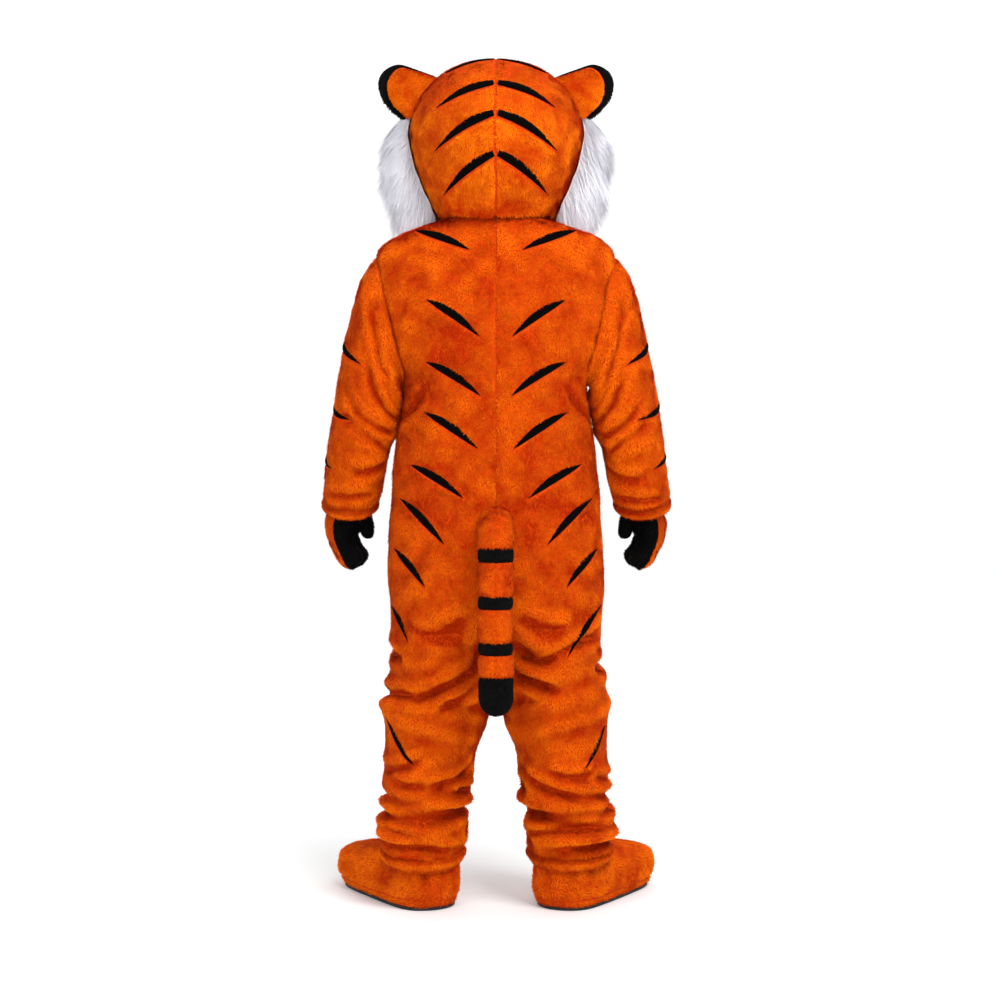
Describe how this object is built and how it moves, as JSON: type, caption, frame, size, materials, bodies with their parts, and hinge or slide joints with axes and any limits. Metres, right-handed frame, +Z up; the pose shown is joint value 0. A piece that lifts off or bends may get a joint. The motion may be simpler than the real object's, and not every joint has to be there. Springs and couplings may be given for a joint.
{
  "type": "tiger mascot costume",
  "caption": "Full-body plush tiger costume, filled out as worn: striped suit with banded tail, eared head, gloves and boots.",
  "frame": {"origin": "middle of the neck between the wearer's shoulders, where the costume hangs", "axes": "+Z up along the body, +Y the way the wearer faces, +X to the wearer's right"},
  "size_m": [0.7774, 0.4969, 1.8305],
  "materials": {
    "orange_plush": "short brushed plush pile, vivid orange, slight sheen",
    "black_plush": "short plush pile, near black",
    "white_plush": "long soft fur, white",
    "stripe_satin": "smooth black cloth sewn over the plush",
    "sole_rubber": "matt black sheet",
    "eye_plastic": "smooth glossy black"
  },
  "bodies": {
    "root": {"back_left": "orange_plush", "back_right": "orange_plush", "boot_left": "orange_plush", "boot_right": "orange_plush", "cuff_left": "orange_plush", "cuff_right": "orange_plush", "ear_back_left": "orange_plush", "ear_back_right": "orange_plush", "ear_front_left": "black_plush", "ear_front_right": "black_plush", "eye_left": "eye_plastic", "eye_right": "eye_plastic", "face": "orange_plush", "front_left": "orange_plush", "front_right": "orange_plush", "glove_back_left": "orange_plush", "glove_back_right": "orange_plush", "glove_palm_left": "black_plush", "glove_palm_right": "black_plush", "hood_left": "orange_plush", "hood_right": "orange_plush", "leg_band_left": "orange_plush", "leg_band_right": "orange_plush", "muzzle": "white_plush", "nose": "black_plush", "ruff_left": "white_plush", "ruff_right": "white_plush", "sleeve_left": "orange_plush", "sleeve_right": "orange_plush", "sole_left": "sole_rubber", "sole_right": "sole_rubber", "stripe_blade_left": "stripe_satin", "stripe_blade_right": "stripe_satin", "stripe_crown_left": "stripe_satin", "stripe_crown_right": "stripe_satin", "stripe_hip_left": "stripe_satin", "stripe_hip_right": "stripe_satin", "stripe_loin_left": "stripe_satin", "stripe_loin_right": "stripe_satin", "stripe_nape_high_left": "stripe_satin", "stripe_nape_high_right": "stripe_satin", "stripe_nape_low_left": "stripe_satin", "stripe_nape_low_right": "stripe_satin", "stripe_ribs_left": "stripe_satin", "stripe_ribs_right": "stripe_satin", "stripe_shoulder_left": "stripe_satin", "stripe_shoulder_right": "stripe_satin", "stripe_thigh_left": "stripe_satin", "stripe_thigh_right": "stripe_satin", "stripe_waist_left": "stripe_satin", "stripe_waist_right": "stripe_satin", "tail_band_1": "black_plush", "tail_band_2": "black_plush", "tail_band_3": "black_plush", "tail_length_1": "orange_plush", "tail_length_2": "orange_plush", "tail_length_3": "orange_plush", "tail_root": "orange_plush", "tail_tip": "black_plush"}
  },
  "joints": []
}
